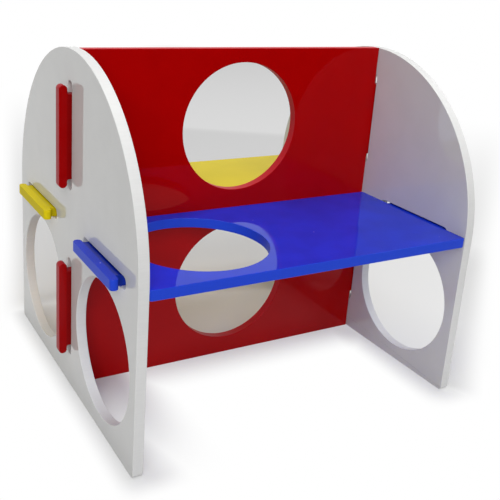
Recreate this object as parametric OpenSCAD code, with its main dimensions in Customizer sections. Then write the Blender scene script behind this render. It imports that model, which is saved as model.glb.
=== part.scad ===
// Knock-down house for a small pet: five acrylic sheets that plug together with headed tabs in slots.
// X runs along the house, the front faces -Y and Z is up. The origin is the middle of the base.

/* [House] */
// Length over the outer faces of the two end panels
house_l = 110; // [100:1:150]
// Depth of an end panel, twice the radius of its arched top
house_d = 102; // [92:1:130]
// Height to the top of the arch and of the centre wall
house_h = 103; // [93:1:140]
// Thickness of the sheet that every piece is cut from
sheet_t = 3; // [2:0.1:4]
// Radius on the outer corners of the end panels' feet
foot_r = 1.2; // [0.4:0.1:3]

/* [Round holes] */
// Diameter of every round hole
hole_d = 40.5; // [30:0.5:45]
// How far an end panel's holes lie outwards of the middle between the wall's slots and the panel's edge
end_hole_outset = 0.55; // [0:0.05:2]
// Height of the centres of an end panel's holes
end_hole_z = 25; // [22:0.5:27]
// How far the front shelf's hole lies outwards of the middle of its left half
shelf_hole_outset = 0.5; // [0:0.1:3]

/* [Levels] */
// Height of the middle of the centre wall's lower hole and lower tabs
lower_z = 26; // [23:0.5:30]
// Depth of the middle of the centre wall's upper hole and upper tabs below the top
upper_drop = 24.5; // [22:0.5:30]
// Height of the top faces of both shelves
shelf_top_z = 52.5; // [51:0.5:58]

/* [Shelves] */
// How far a shelf's outer edge stays inside the edge of the end panels
shelf_inset = 0; // [0:0.1:3]
// How far a shelf's tabs lie outwards of the middle of its depth
shelf_tab_outset = 1.2; // [0:0.1:4]
// Radius on the outer corners of the shelves
shelf_corner_r = 0.8; // [0.4:0.1:4]

/* [Tabs and slots] */
// Length of a tab's neck along its slot
neck_l = 24.4; // [20:0.2:27]
// How far a tab's head overhangs its neck at each end
head_overhang = 2.5; // [1.5:0.1:3]
// Thickness of a tab's head, away from the end panel
head_t = 2.4; // [1.5:0.1:4]
// Length of neck that stands out of the end panel, under the head
neck_out = 1.1; // [0.8:0.1:3]
// Radius in the corner between neck and head
notch_r = 0.5; // [0.2:0.1:0.7]
// Radius in the corners of a slot
slot_corner_r = 1.6; // [0.5:0.1:1.7]

/* [Clearances] */
// Room at each end of a slot for the head to pass through
slot_end_gap = 1; // [0.4:0.1:2]
// Room on the seated face of a tab in its slot, below a shelf's tab and behind the centre wall's tabs
slot_seat_gap = 0.2; // [0.15:0.05:0.5]
// Room on the open face of a tab in its slot, above a shelf's tab and in front of the centre wall's tabs
slot_open_gap = 0.4; // [0.2:0.1:2]
// Gap between the shoulders of a sheet and the inner face of an end panel
shoulder_gap = 0.1; // [0.05:0.05:0.5]
// Gap between a shelf's inner edge and the face of the centre wall
wall_gap = 0.2; // [0.1:0.05:1]

/* [Hidden] */
$fn = 96;

// Arch of the end panels
arch_r = house_d / 2;
spring_z = house_h - arch_r;

// Level of the centre wall's upper hole and upper tabs
upper_z = house_h - upper_drop;

// Room between the end panels, and the sheets that stand in it
inner_x = house_l / 2 - sheet_t;
shoulder_x = inner_x - shoulder_gap;
neck_reach = shoulder_gap + sheet_t + neck_out;
head_l = neck_l + 2 * head_overhang;

// Slots that take the tabs, and the doorways beside them
slot_l = head_l + 2 * slot_end_gap;
slot_w = slot_seat_gap + sheet_t + slot_open_gap;
slot_shift = (slot_open_gap - slot_seat_gap) / 2;
end_hole_y = (slot_shift + slot_w / 2 + arch_r) / 2 + end_hole_outset;

// Place of the shelves, whose outer edge follows the arch where they lie above its spring
shelf_z = shelf_top_z - sheet_t / 2;
shelf_inner_y = sheet_t / 2 + wall_gap;
arch_rise = max(0, shelf_top_z - spring_z);
shelf_outer_y = sqrt(arch_r * arch_r - arch_rise * arch_rise) - shelf_inset;
shelf_middle_y = (shelf_inner_y + shelf_outer_y) / 2;
shelf_tab_y = shelf_middle_y + shelf_tab_outset;

// Place of the front shelf's hole along the house
shelf_hole_x = -(shoulder_x / 2 + shelf_hole_outset);

// Waste beyond a rounded corner at the origin, for an outline that lies towards +X and +Y
module corner_waste(r) {
    difference() {
        translate([-r, -r]) square(2 * r);
        translate([r, r]) circle(r);
    }
}

// Fillet in an inside corner at the origin that opens towards +X and +Y
module corner_fillet(r) {
    difference() {
        square(r);
        translate([r, r]) circle(r);
    }
}

// Upper half of a disc on the origin
module half_disc(r) {
    intersection() {
        circle(r);
        translate([-r, 0]) square([2 * r, r]);
    }
}

// Headed tab that points along +X from a shoulder at x = 0, with its middle at y = 0
module tab() {
    head_end = head_l / 2 - head_t / 2;
    translate([0, -neck_l / 2]) square([neck_reach + head_t / 2, neck_l]);
    translate([neck_reach, -head_end]) square([head_t, 2 * head_end]);
    for (side = [-1, 1])
        translate([neck_reach + head_t / 2, side * head_end]) circle(d = head_t);
    for (flip = [0, 1])
        mirror([0, flip]) translate([neck_reach, neck_l / 2]) mirror([1, 0]) corner_fillet(notch_r);
}

// A tab at both ends of a sheet, at y along its end edge
module end_tabs(y) {
    for (flip = [0, 1])
        mirror([flip, 0]) translate([shoulder_x, y]) tab();
}

// Slot along x with rounded corners, centred on the origin
module slot() {
    corner_x = slot_l / 2 - slot_corner_r;
    corner_y = slot_w / 2 - slot_corner_r;
    square([slot_l, 2 * corner_y], center = true);
    square([2 * corner_x, slot_w], center = true);
    for (x = [-1, 1], y = [-1, 1])
        translate([x * corner_x, y * corner_y]) circle(slot_corner_r);
}

// Outline of an end panel: Y of the house runs along x, Z along y
module end_panel_outline() {
    difference() {
        union() {
            translate([-arch_r, 0]) square([house_d, spring_z]);
            translate([0, spring_z]) half_disc(arch_r);
        }
        for (flip = [0, 1])
            mirror([flip, 0]) translate([-arch_r, 0]) corner_waste(foot_r);
        for (side = [-1, 1]) {
            translate([side * end_hole_y, end_hole_z]) circle(d = hole_d);
            translate([side * shelf_tab_y, shelf_z + slot_shift]) slot();
        }
        for (z = [lower_z, upper_z])
            translate([-slot_shift, z]) rotate(90) slot();
    }
}

module end_panel() {
    translate([inner_x, 0, 0]) rotate([90, 0, 90]) linear_extrude(sheet_t) end_panel_outline();
}

module left_end_panel() {
    color("gainsboro") mirror([1, 0, 0]) end_panel();
}

module right_end_panel() {
    color("gainsboro") end_panel();
}

module centre_wall() {
    color("firebrick")
        rotate([90, 0, 0]) linear_extrude(sheet_t, center = true) difference() {
            union() {
                translate([-shoulder_x, 0]) square([2 * shoulder_x, house_h]);
                for (z = [lower_z, upper_z])
                    end_tabs(z);
            }
            for (z = [lower_z, upper_z])
                translate([0, z]) circle(d = hole_d);
        }
}

// Outline of a shelf behind the wall, with rounded corners at its outer edge
module shelf_outline() {
    difference() {
        translate([-shoulder_x, shelf_inner_y]) square([2 * shoulder_x, shelf_outer_y - shelf_inner_y]);
        for (flip = [0, 1])
            mirror([flip, 0]) translate([-shoulder_x, shelf_outer_y]) mirror([0, 1]) corner_waste(shelf_corner_r);
    }
    end_tabs(shelf_tab_y);
}

module shelf_sheet() {
    translate([0, 0, shelf_z]) linear_extrude(sheet_t, center = true) children();
}

module front_shelf() {
    color("royalblue")
        shelf_sheet() difference() {
            mirror([0, 1]) shelf_outline();
            translate([shelf_hole_x, -shelf_middle_y]) circle(d = hole_d);
        }
}

module rear_shelf() {
    color("gold")
        shelf_sheet() shelf_outline();
}

left_end_panel();
right_end_panel();
centre_wall();
front_shelf();
rear_shelf();
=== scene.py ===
"""Looks of the small pet house: five polished acrylic sheets on a pale floor under soft studio light."""
import math

import bpy
from mathutils import Matrix, Vector

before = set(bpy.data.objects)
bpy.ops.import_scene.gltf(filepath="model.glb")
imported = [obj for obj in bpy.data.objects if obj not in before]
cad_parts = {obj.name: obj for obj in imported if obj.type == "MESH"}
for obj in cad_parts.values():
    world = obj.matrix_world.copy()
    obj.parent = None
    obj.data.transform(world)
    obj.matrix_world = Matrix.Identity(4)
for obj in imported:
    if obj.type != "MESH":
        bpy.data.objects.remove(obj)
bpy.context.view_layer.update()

MM = 0.001
WHITE = (1, 1, 1, 1)
BLACK = (0, 0, 0, 1)

# Camera, solved on the sheet edges and hole rims of the photo
PICTURE_SIDE = 500
OPTICAL_CENTRE = (225, 195)
FOCAL_LENGTH_PIXELS = 775.53
SENSOR_MM = 36
NEAR_CLIP = 10 * MM
CAMERA_PLACE = Vector((-123.03, -205.29, 130.87)) * MM
CAMERA_YAW = math.radians(30.24)
CAMERA_PITCH = math.radians(17.47)
CAMERA_ROLL = math.radians(-3.79)

# Rounding of the sheets' edges
EDGE_ROUND = 0.2 * MM
EDGE_SEGMENTS = 3
EDGE_ANGLE = math.radians(40)
WELD_DISTANCE = 0.001 * MM
FLAT_ANGLE = math.radians(0.2)

# Looks of the sheets: the axis of the sheet's thickness, the colours of its faces and cut edges, the spread
# of the face colour, the strength and tint of its shine, the shares of black painted on the necks and heads
# of its tabs as shade, and the colour and share of the light that its underside passes on
LOOKS = {
    "white_acrylic": {
        "axis": 0,
        "face": (0.622, 0.622, 0.608),
        "edge": (0.672, 0.672, 0.665),
        "spread": 0.015,
        "specular": 0.5,
    },
    "red_acrylic": {
        "axis": 1,
        "face": (0.398, 0.0008, 0.0009),
        "edge": (0.46, 0.008, 0.016),
        "spread": 0.03,
        "specular": 0.19,
        "tint": (1, 0.4, 0.5, 1),
        "neck_painted_shade": 0.45,
        "head_painted_shade": 0.25,
    },
    "blue_acrylic": {
        "axis": 2,
        "face": (0.004, 0.028, 0.515),
        "edge": (0.011, 0.053, 0.6),
        "spread": 0.08,
        "specular": 0.16,
        "neck_painted_shade": 0.5,
        "glow": (0.06, 0.12, 0.95, 1),
        "passed": 0.35,
    },
    "yellow_acrylic": {
        "axis": 2,
        "face": (0.71, 0.57, 0.009),
        "edge": (0.71, 0.57, 0.009),
        "spread": 0.02,
        "specular": 0.02,
        "tint": (1, 0.95, 0.5, 1),
        "neck_painted_shade": 0.15,
        "glow": (1, 0.78, 0.08, 1),
        "passed": 0.5,
    },
}
SHEETS = {
    "left_end_panel": "white_acrylic",
    "right_end_panel": "white_acrylic",
    "centre_wall": "red_acrylic",
    "front_shelf": "blue_acrylic",
    "rear_shelf": "yellow_acrylic",
}

# All acrylic. The normal's part along the sheet's thickness tells a polished face from a cut edge, and its
# upright part tells a face that gathers dust and an underside. Each pair says where one turns into the other.
ACRYLIC_IOR = 1.49
FACE_TO_EDGE = (0.9, 0.5)
CLEAN_TO_DUSTY = (0.8, 0.95)
SIDE_TO_UNDERSIDE = (-0.5, -0.9)

# Distances from the middle of the house where a sheet turns into its tabs' necks, and the necks into heads,
# where the painted shade on the tabs sets in and changes
NECK_START = (53 * MM, 55 * MM)
HEAD_START = (55.9 * MM, 56.6 * MM)

# Polished faces: clouds in the colour, and smudges that roughen the polish
FACE_DETAIL = 4.0
CLOUD_SIZE = 9 * MM
CLOUD_RANGE = (0.3, 0.7)
SMUDGE_SIZE = 12 * MM
SMUDGE_RANGE = (0.5, 0.75)
FACE_ROUGHNESS = (0.04, 0.1)

# Cut edges: fine striation across the sheet
STRIATION_SIZE = 0.4 * MM
STRIATION_STRETCH = 0.04
STRIATION_DETAIL = 3.0
STRIATION_RANGE = (0.35, 0.65)
STRIATION_SPREAD = 0.012
CUT_ROUGHNESS = 0.45
CUT_BUMP = 0.02
CUT_DEPTH = 0.05 * MM

# Dust on the faces that look up
DUST_SPACING = 5 * MM
DUST_RADIUS = 0.32 * MM
DUST_SHARE = 0.35
DUST_COLOUR = (0.53, 0.53, 0.55, 1)

# Studio
FLOOR_SIDE = 12.0
FLOOR_COLOUR = (0.64, 0.64, 0.64, 1)
# Spots where the floor itself is seen and not the white background. There the floor keeps the object's real
# shadow, and the grey of the spots' own shapes is painted shade, as halos and shadows beside and behind the
# house. Each has an origin and a turn of its axes, four places along each axis in millimetres, where it
# starts, is full, fades and is gone, and a share of floor.
LIT_SPOTS = {
    "front room": ((0, 0), 0, (-54, -53, 53, 54), (-18, 0, 0.5, 1), 0.6),
    "left room": ((0, 0), 0, (-54, -53, -42, -26), (-60, 0, 0.5, 1), 0.95),
    "left foot": ((0, 0), 0, (-61.5, -54, -51, -38), (-60, -51, 51, 59), 0.66),
    "right foot": ((0, 0), 0, (41, 53, 55, 63), (-61, -51, 51, 59), 0.6),
    "rear room": ((0, 0), 0, (-54, -53, 53, 54), (0.5, 1, 51, 70), 0.86),
    "behind": ((-43.5, 85), -15.6, (-12, 3, 100, 160), (-45, -20, 60, 130), 0.97),
    "far behind": ((183, 305), -30, (-140, -60, 60, 140), (-190, -150, 420, 520), 0.72),
    "shade far behind": ((183, 305), -30, (-140, -60, 60, 140), (-190, -150, -30, 30), 0.93),
    "right room": ((55, -51), -49.1, (-60, -45, -6, 14), (10, 25, 140, 220), 0.58),
    "right shade": ((55, -51), -49.1, (-7, -3, 0, 12), (-6, 4, 110, 190), 0.85),
}
# Painted shade: a wide grey fan of floor behind the house with its apex in front, which also keeps the
# real shadow there. Its slopes from the apex and its distances are given as the places of the spots are.
FAN_APEX = (-123, -205)
FAN_TURN = -30.2
FAN_SLOPES = (-0.302, -0.272, 0.335, 0.38)
FAN_REACH = (266, 285, 350, 700)
FAN_SHARE = 0.58
# Places in front of the house, along the depth, between which the white floor ends for reflections
DARK_FRONT = (-205 * MM, -175 * MM)
# Softboxes, each as place, side and watts
LAMPS = {
    "key light": (Vector((0.0, 0.05, 1.35)), 0.9, 10.1),
    "fill light": (Vector((-0.5, -0.87, 0.72)), 0.9, 9.6),
    "side light": (Vector((1.1, -0.1, 0.8)), 0.9, 5.1),
}
WORLD_LIGHT = 0.12

# Sockets of a Mix node for its share, its first and second value and its result
MIX_INPUTS = {"FLOAT": (0, 2, 3), "RGBA": (0, 6, 7)}
MIX_RESULT = {"FLOAT": 0, "RGBA": 2}


def add_node(tree, kind, inputs=None, **settings):
    """Adds a node. An input that is given a socket is linked to it, and any other value is set on it."""
    node = tree.nodes.new(kind)
    for name, value in settings.items():
        setattr(node, name, value)
    for name, value in (inputs or {}).items():
        if isinstance(value, bpy.types.NodeSocket):
            tree.links.new(value, node.inputs[name])
        else:
            node.inputs[name].default_value = value
    return node


def math_node(tree, operation, *values):
    """Result of a Math node on sockets or numbers."""
    return add_node(tree, "ShaderNodeMath", dict(enumerate(values)), operation=operation).outputs[0]


def ramp(tree, value, low, high, at_low=0.0, at_high=1.0):
    """Smooth step of a value from at_low to at_high between low and high."""
    inputs = {"Value": value, "From Min": low, "From Max": high, "To Min": at_low, "To Max": at_high}
    return add_node(tree, "ShaderNodeMapRange", inputs, interpolation_type="SMOOTHSTEP").outputs["Result"]


def mix(tree, kind, share, first, second):
    """First value at share 0, second at share 1, of the kind FLOAT or RGBA."""
    inputs = dict(zip(MIX_INPUTS[kind], (share, first, second)))
    return add_node(tree, "ShaderNodeMix", inputs, data_type=kind).outputs[MIX_RESULT[kind]]


def noise(tree, place, size, detail):
    """Noise of about that feature size in metres, from 0 to 1."""
    inputs = {"Vector": place, "Scale": 1 / size, "Detail": detail}
    return add_node(tree, "ShaderNodeTexNoise", inputs).outputs["Fac"]


def stretched(tree, place, axis, factor):
    """Place with one axis pressed together, so that a texture on it is drawn out along that axis."""
    scale = [1.0, 1.0, 1.0]
    scale[axis] = factor
    return add_node(tree, "ShaderNodeMapping", {"Vector": place, "Scale": scale}).outputs["Vector"]


def new_material(name):
    """Empty node material with its output node."""
    material = bpy.data.materials.new(name)
    material.use_nodes = True
    tree = material.node_tree
    tree.nodes.clear()
    return material, tree, tree.nodes.new("ShaderNodeOutputMaterial")


def shades(tree, share, colour, spread):
    """Colour that runs from a little darker to a little paler."""
    dark = [(1 - spread) * c for c in colour] + [1]
    pale = [(1 + spread) * c for c in colour] + [1]
    return mix(tree, "RGBA", share, dark, pale)


def sheet_colour(tree, place, cut, striation, face, edge, spread):
    """Clouded faces and finely striped cut edges."""
    clouds = ramp(tree, noise(tree, place, CLOUD_SIZE, FACE_DETAIL), *CLOUD_RANGE)
    stripes = ramp(tree, striation, *STRIATION_RANGE)
    face_colour = shades(tree, clouds, face, spread)
    edge_colour = shades(tree, stripes, edge, STRIATION_SPREAD)
    return mix(tree, "RGBA", cut, face_colour, edge_colour)


def painted_tab_shade(tree, place, neck_painted_shade, head_painted_shade):
    """Share of black painted on the tabs at both ends of a sheet as shade, most on the necks."""
    position = add_node(tree, "ShaderNodeSeparateXYZ", {"Vector": place}).outputs
    reach = math_node(tree, "ABSOLUTE", position["X"])
    on_tab = ramp(tree, reach, *HEAD_START, neck_painted_shade, head_painted_shade)
    return math_node(tree, "MULTIPLY", ramp(tree, reach, *NECK_START), on_tab)


def dust(tree, place, upward):
    """Share of dust: scattered specks on the faces that look up."""
    cells = add_node(tree, "ShaderNodeTexVoronoi", {"Vector": place, "Scale": 1 / DUST_SPACING})
    near = ramp(tree, cells.outputs["Distance"], DUST_RADIUS / DUST_SPACING, 0)
    chosen = math_node(tree, "GREATER_THAN", cells.outputs["Color"], 1 - DUST_SHARE)
    specks = math_node(tree, "MULTIPLY", near, chosen)
    return math_node(tree, "MULTIPLY", specks, ramp(tree, upward, *CLEAN_TO_DUSTY))


def sheet_roughness(tree, place, cut):
    """Smudged polish on the faces, satin on the cut edges."""
    smudges = noise(tree, place, SMUDGE_SIZE, FACE_DETAIL)
    polish = ramp(tree, smudges, *SMUDGE_RANGE, *FACE_ROUGHNESS)
    return mix(tree, "FLOAT", cut, polish, CUT_ROUGHNESS)


def cut_bump(tree, cut, striation):
    """Normal that follows the striation of the cut edges."""
    height = math_node(tree, "MULTIPLY", striation, cut)
    inputs = {"Height": height, "Strength": CUT_BUMP, "Distance": CUT_DEPTH}
    return add_node(tree, "ShaderNodeBump", inputs).outputs["Normal"]


def glowing_underside(tree, surface, upward, colour, passed):
    """Surface whose underside passes on a share of the light that falls on the top of the sheet."""
    glow = add_node(tree, "ShaderNodeBsdfTranslucent", {"Color": colour}).outputs["BSDF"]
    inside = tree.nodes.new("ShaderNodeNewGeometry").outputs["Backfacing"]
    share = math_node(tree, "MAXIMUM", inside, ramp(tree, upward, *SIDE_TO_UNDERSIDE, 0, passed))
    return add_node(tree, "ShaderNodeMixShader", {0: share, 1: surface, 2: glow}).outputs[0]


def acrylic(name, axis, face, edge, spread, specular, tint=WHITE, neck_painted_shade=0.0, head_painted_shade=0.0, glow=None,
            passed=0.0):
    """Polished sheet with satin cut edges, and with painted shade on its tabs and a glowing underside where
    it has them.
    """
    material, tree, output = new_material(name)
    coordinates = tree.nodes.new("ShaderNodeTexCoord").outputs
    place = coordinates["Object"]
    normal = add_node(tree, "ShaderNodeSeparateXYZ", {"Vector": coordinates["Normal"]}).outputs
    cut = ramp(tree, math_node(tree, "ABSOLUTE", normal[axis]), *FACE_TO_EDGE)
    striation = noise(tree, stretched(tree, place, axis, STRIATION_STRETCH), STRIATION_SIZE, STRIATION_DETAIL)

    colour = sheet_colour(tree, place, cut, striation, face, edge, spread)
    # Painted shade: the tabs are darkened towards black, most on their necks beside the end panels.
    if neck_painted_shade:
        colour = mix(tree, "RGBA", painted_tab_shade(tree, place, neck_painted_shade, head_painted_shade), colour, BLACK)
    colour = mix(tree, "RGBA", dust(tree, place, normal["Z"]), colour, DUST_COLOUR)

    surface = add_node(tree, "ShaderNodeBsdfPrincipled", {
        "Base Color": colour,
        "Roughness": sheet_roughness(tree, place, cut),
        "Normal": cut_bump(tree, cut, striation),
        "IOR": ACRYLIC_IOR,
        "Specular IOR Level": specular,
        "Specular Tint": tint,
    }).outputs["BSDF"]
    if glow:
        surface = glowing_underside(tree, surface, normal["Z"], glow, passed)
    tree.links.new(surface, output.inputs["Surface"])
    return material


def dress_sheet(name, material):
    """Gives a CAD sheet its material and rounds its cut edges."""
    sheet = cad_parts[name]
    sheet.data.materials.clear()
    sheet.data.materials.append(material)

    weld = sheet.modifiers.new("weld", "WELD")
    weld.merge_threshold = WELD_DISTANCE

    flats = sheet.modifiers.new("flats", "DECIMATE")
    flats.decimate_type = "DISSOLVE"
    flats.angle_limit = FLAT_ANGLE

    rounding = sheet.modifiers.new("rounding", "BEVEL")
    rounding.width = EDGE_ROUND
    rounding.segments = EDGE_SEGMENTS
    rounding.limit_method = "ANGLE"
    rounding.angle_limit = EDGE_ANGLE

    normals = sheet.modifiers.new("normals", "WEIGHTED_NORMAL")
    normals.mode = "FACE_AREA"


def dress_house():
    """Makes the acrylic of each colour and dresses the five sheets in it."""
    materials = {name: acrylic(name, **look) for name, look in LOOKS.items()}
    for sheet, material in SHEETS.items():
        dress_sheet(sheet, materials[material])


def seen_rays(tree):
    """1 for the rays that look at the surroundings, 0 for those that carry light to the object."""
    rays = tree.nodes.new("ShaderNodeLightPath").outputs
    seen = math_node(tree, "MAXIMUM", rays["Is Camera Ray"], rays["Is Glossy Ray"])
    seen = math_node(tree, "MAXIMUM", seen, rays["Is Transmission Ray"])
    return math_node(tree, "MULTIPLY", seen, math_node(tree, "SUBTRACT", 1.0, rays["Is Diffuse Ray"]))


def fades(tree, value, start, full, end, gone):
    """Rises from 0 to 1 between start and full, and falls again between end and gone."""
    return math_node(tree, "MULTIPLY", ramp(tree, value, start, full), ramp(tree, value, gone, end))


def floor_axes(tree, place, origin, turn):
    """Place on the floor in millimetres along turned axes through the origin."""
    origin_x, origin_y = origin
    turned = add_node(tree, "ShaderNodeMapping", {
        "Vector": place,
        "Location": (origin_x * MM, origin_y * MM, 0),
        "Rotation": (0, 0, math.radians(turn)),
        "Scale": (MM, MM, MM),
    }, vector_type="TEXTURE").outputs["Vector"]
    parts = add_node(tree, "ShaderNodeSeparateXYZ", {"Vector": turned}).outputs
    return parts["X"], parts["Y"]


def spot_share(tree, place, origin, turn, along_x, along_y, share):
    """Share of floor that is seen in one spot."""
    x, y = floor_axes(tree, place, origin, turn)
    inside = math_node(tree, "MULTIPLY", fades(tree, x, *along_x), fades(tree, y, *along_y))
    return math_node(tree, "MULTIPLY", inside, share)


def painted_shade_fan_share(tree, place):
    """Share of floor that is seen in the wide fan of painted shade behind the house."""
    x, y = floor_axes(tree, place, FAN_APEX, FAN_TURN)
    slope = math_node(tree, "DIVIDE", x, y)
    inside = math_node(tree, "MULTIPLY", fades(tree, slope, *FAN_SLOPES), fades(tree, y, *FAN_REACH))
    return math_node(tree, "MULTIPLY", inside, FAN_SHARE)


def white_strength(tree, place):
    """Strength of the white background: full for the camera, and none far in front for reflections."""
    depth = add_node(tree, "ShaderNodeSeparateXYZ", {"Vector": place}).outputs["Y"]
    by_camera = tree.nodes.new("ShaderNodeLightPath").outputs["Is Camera Ray"]
    return math_node(tree, "MAXIMUM", by_camera, ramp(tree, depth, *DARK_FRONT))


def floor_material():
    """Pale floor that takes the object's shadow and turns into a white background further out, with painted
    shade in the grey shapes of its spots and fan.
    """
    material, tree, output = new_material("floor")
    place = tree.nodes.new("ShaderNodeTexCoord").outputs["Object"]
    # Painted shade: the fan and the spots show grey floor, with its real shadow, in the shapes of halos and
    # shadows.
    floor_share = painted_shade_fan_share(tree, place)
    for spot in LIT_SPOTS.values():
        floor_share = math_node(tree, "MAXIMUM", floor_share, spot_share(tree, place, *spot))
    white_share = math_node(tree, "MULTIPLY", math_node(tree, "SUBTRACT", 1.0, floor_share), seen_rays(tree))
    lit = add_node(tree, "ShaderNodeBsdfDiffuse", {"Color": FLOOR_COLOUR}).outputs["BSDF"]
    strength = white_strength(tree, place)
    white = add_node(tree, "ShaderNodeEmission", {"Color": WHITE, "Strength": strength}).outputs["Emission"]
    surface = add_node(tree, "ShaderNodeMixShader", {0: white_share, 1: lit, 2: white}).outputs[0]
    tree.links.new(surface, output.inputs["Surface"])
    return material


def make_floor():
    """Wide level floor under the house."""
    half = FLOOR_SIDE / 2
    corners = [(-half, -half, 0), (half, -half, 0), (half, half, 0), (-half, half, 0)]
    mesh = bpy.data.meshes.new("floor")
    mesh.from_pydata(corners, [], [(0, 1, 2, 3)])
    mesh.materials.append(floor_material())
    floor = bpy.data.objects.new("floor", mesh)
    bpy.context.scene.collection.objects.link(floor)


def make_world():
    """Even light from all round, and a white background where the camera looks past the floor."""
    world = bpy.data.worlds.new("studio")
    bpy.context.scene.world = world
    world.use_nodes = True
    tree = world.node_tree
    tree.nodes.clear()
    strength = ramp(tree, seen_rays(tree), 0, 1, WORLD_LIGHT, 1.0)
    background = add_node(tree, "ShaderNodeBackground", {"Color": WHITE, "Strength": strength})
    output = tree.nodes.new("ShaderNodeOutputWorld")
    tree.links.new(background.outputs["Background"], output.inputs["Surface"])


def make_softbox(name, place, side, watts):
    """Square lamp that looks at the house."""
    light = bpy.data.lights.new(name, "AREA")
    light.shape = "SQUARE"
    light.size = side
    light.energy = watts
    softbox = bpy.data.objects.new(name, light)
    softbox.location = place
    softbox.rotation_euler = (-place).to_track_quat("-Z", "Y").to_euler()
    bpy.context.scene.collection.objects.link(softbox)


def make_camera():
    """Camera at the photo's viewing angle, shifted as the photo was cropped."""
    data = bpy.data.cameras.new("camera")
    data.sensor_width = SENSOR_MM
    data.lens = SENSOR_MM * FOCAL_LENGTH_PIXELS / PICTURE_SIDE
    data.shift_x = 0.5 - OPTICAL_CENTRE[0] / PICTURE_SIDE
    data.shift_y = OPTICAL_CENTRE[1] / PICTURE_SIDE - 0.5
    data.clip_start = NEAR_CLIP
    camera = bpy.data.objects.new("camera", data)
    turn = Matrix.Rotation(-CAMERA_YAW, 4, "Z") @ Matrix.Rotation(math.pi / 2 - CAMERA_PITCH, 4, "X")
    camera.matrix_world = Matrix.Translation(CAMERA_PLACE) @ turn @ Matrix.Rotation(-CAMERA_ROLL, 4, "Z")
    bpy.context.scene.collection.objects.link(camera)
    bpy.context.scene.camera = camera


bpy.context.scene.view_settings.view_transform = "Standard"
make_camera()
make_world()
for lamp_name, lamp in LAMPS.items():
    make_softbox(lamp_name, *lamp)
make_floor()
dress_house()
